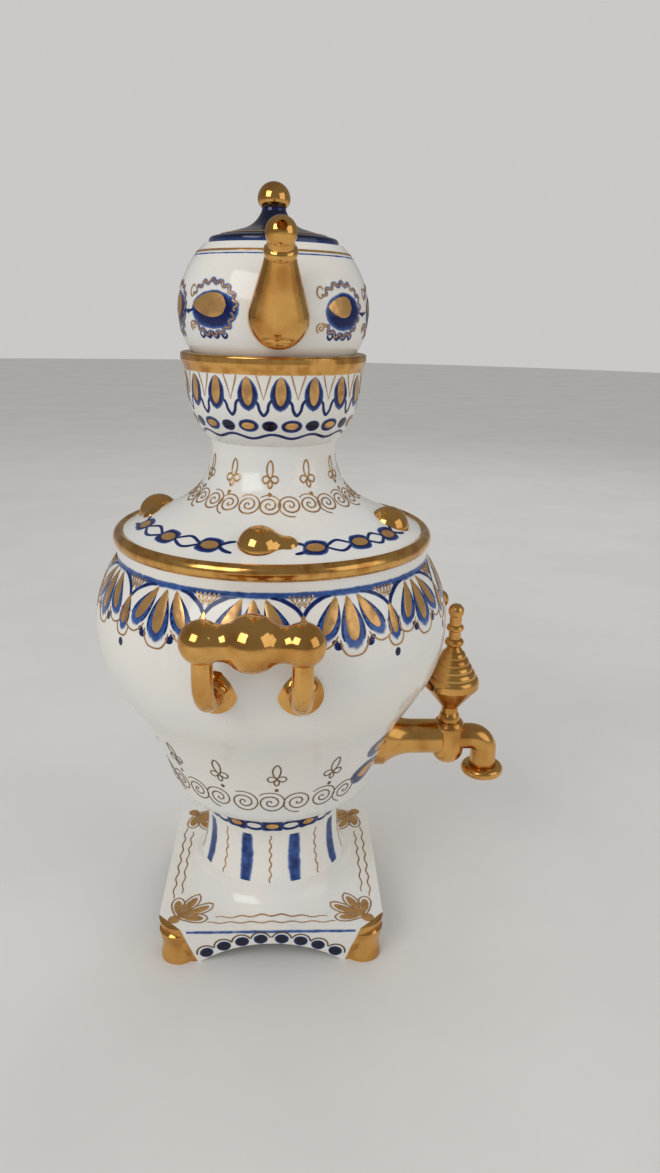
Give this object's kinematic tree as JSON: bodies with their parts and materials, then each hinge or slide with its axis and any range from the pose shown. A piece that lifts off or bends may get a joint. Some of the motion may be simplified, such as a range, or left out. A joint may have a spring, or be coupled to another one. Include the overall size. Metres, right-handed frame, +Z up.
{
  "type": "porcelain samovar set with teapot",
  "caption": "Samovar-shaped porcelain set: an urn on a square plinth with a tap and loop handles, a lift-off cover with a crown, and a lidded teapot that stands in the crown.",
  "frame": {"origin": "on the ground under the middle of the plinth, on the urn's axis", "axes": "+Z up along the urn's axis, +X towards the tap, -Y towards the front handle and the spout"},
  "size_m": [0.1607, 0.1768, 0.2801],
  "materials": {
    "white_glaze": "glossy white glaze painted in cobalt and gold",
    "cobalt_glaze": "glossy dark cobalt glaze",
    "gilding": "porcelain gilded with bright gold"
  },
  "bodies": {
    "urn": {"plinth": "white_glaze", "corner_foot_front_left": "gilding", "corner_foot_front_right": "gilding", "corner_foot_rear_left": "gilding", "corner_foot_rear_right": "gilding", "urn_body": "white_glaze", "front_handle_bar": "gilding", "front_handle_post_left": "gilding", "front_handle_post_right": "gilding", "front_handle_prop": "gilding", "rear_handle_bar": "gilding", "rear_handle_post_left": "gilding", "rear_handle_post_right": "gilding", "rear_handle_prop": "gilding", "tap_body": "gilding", "finial_prop": "gilding"},
    "tap_key": {"tap_key": "gilding"},
    "cover": {"cover": "white_glaze", "cover_nut_front": "gilding", "cover_nut_right": "gilding", "cover_nut_rear": "gilding", "cover_nut_left": "gilding", "crown_bowl": "white_glaze"},
    "teapot": {"teapot_pot": "white_glaze", "teapot_spout": "gilding", "teapot_handle": "gilding"},
    "teapot_lid": {"teapot_lid": "cobalt_glaze", "lid_knob": "gilding"}
  },
  "joints": [
    {"name": "tap_key_turn", "type": "hinge", "parent": "urn", "child": "tap_key", "pos_m": [0.0711, 0, 0.075], "axis": [0, 0, 1], "range_deg": [0, 90]},
    {"name": "cover_lift", "type": "slide", "parent": "urn", "child": "cover", "axis": [0, 0, 1], "range_m": [0, 0.06]},
    {"name": "teapot_lift", "type": "slide", "parent": "cover", "child": "teapot", "axis": [0, 0, 1], "range_m": [0, 0.04]},
    {"name": "teapot_lid_lift", "type": "slide", "parent": "teapot", "child": "teapot_lid", "axis": [0, 0, 1], "range_m": [0, 0.03]}
  ]
}
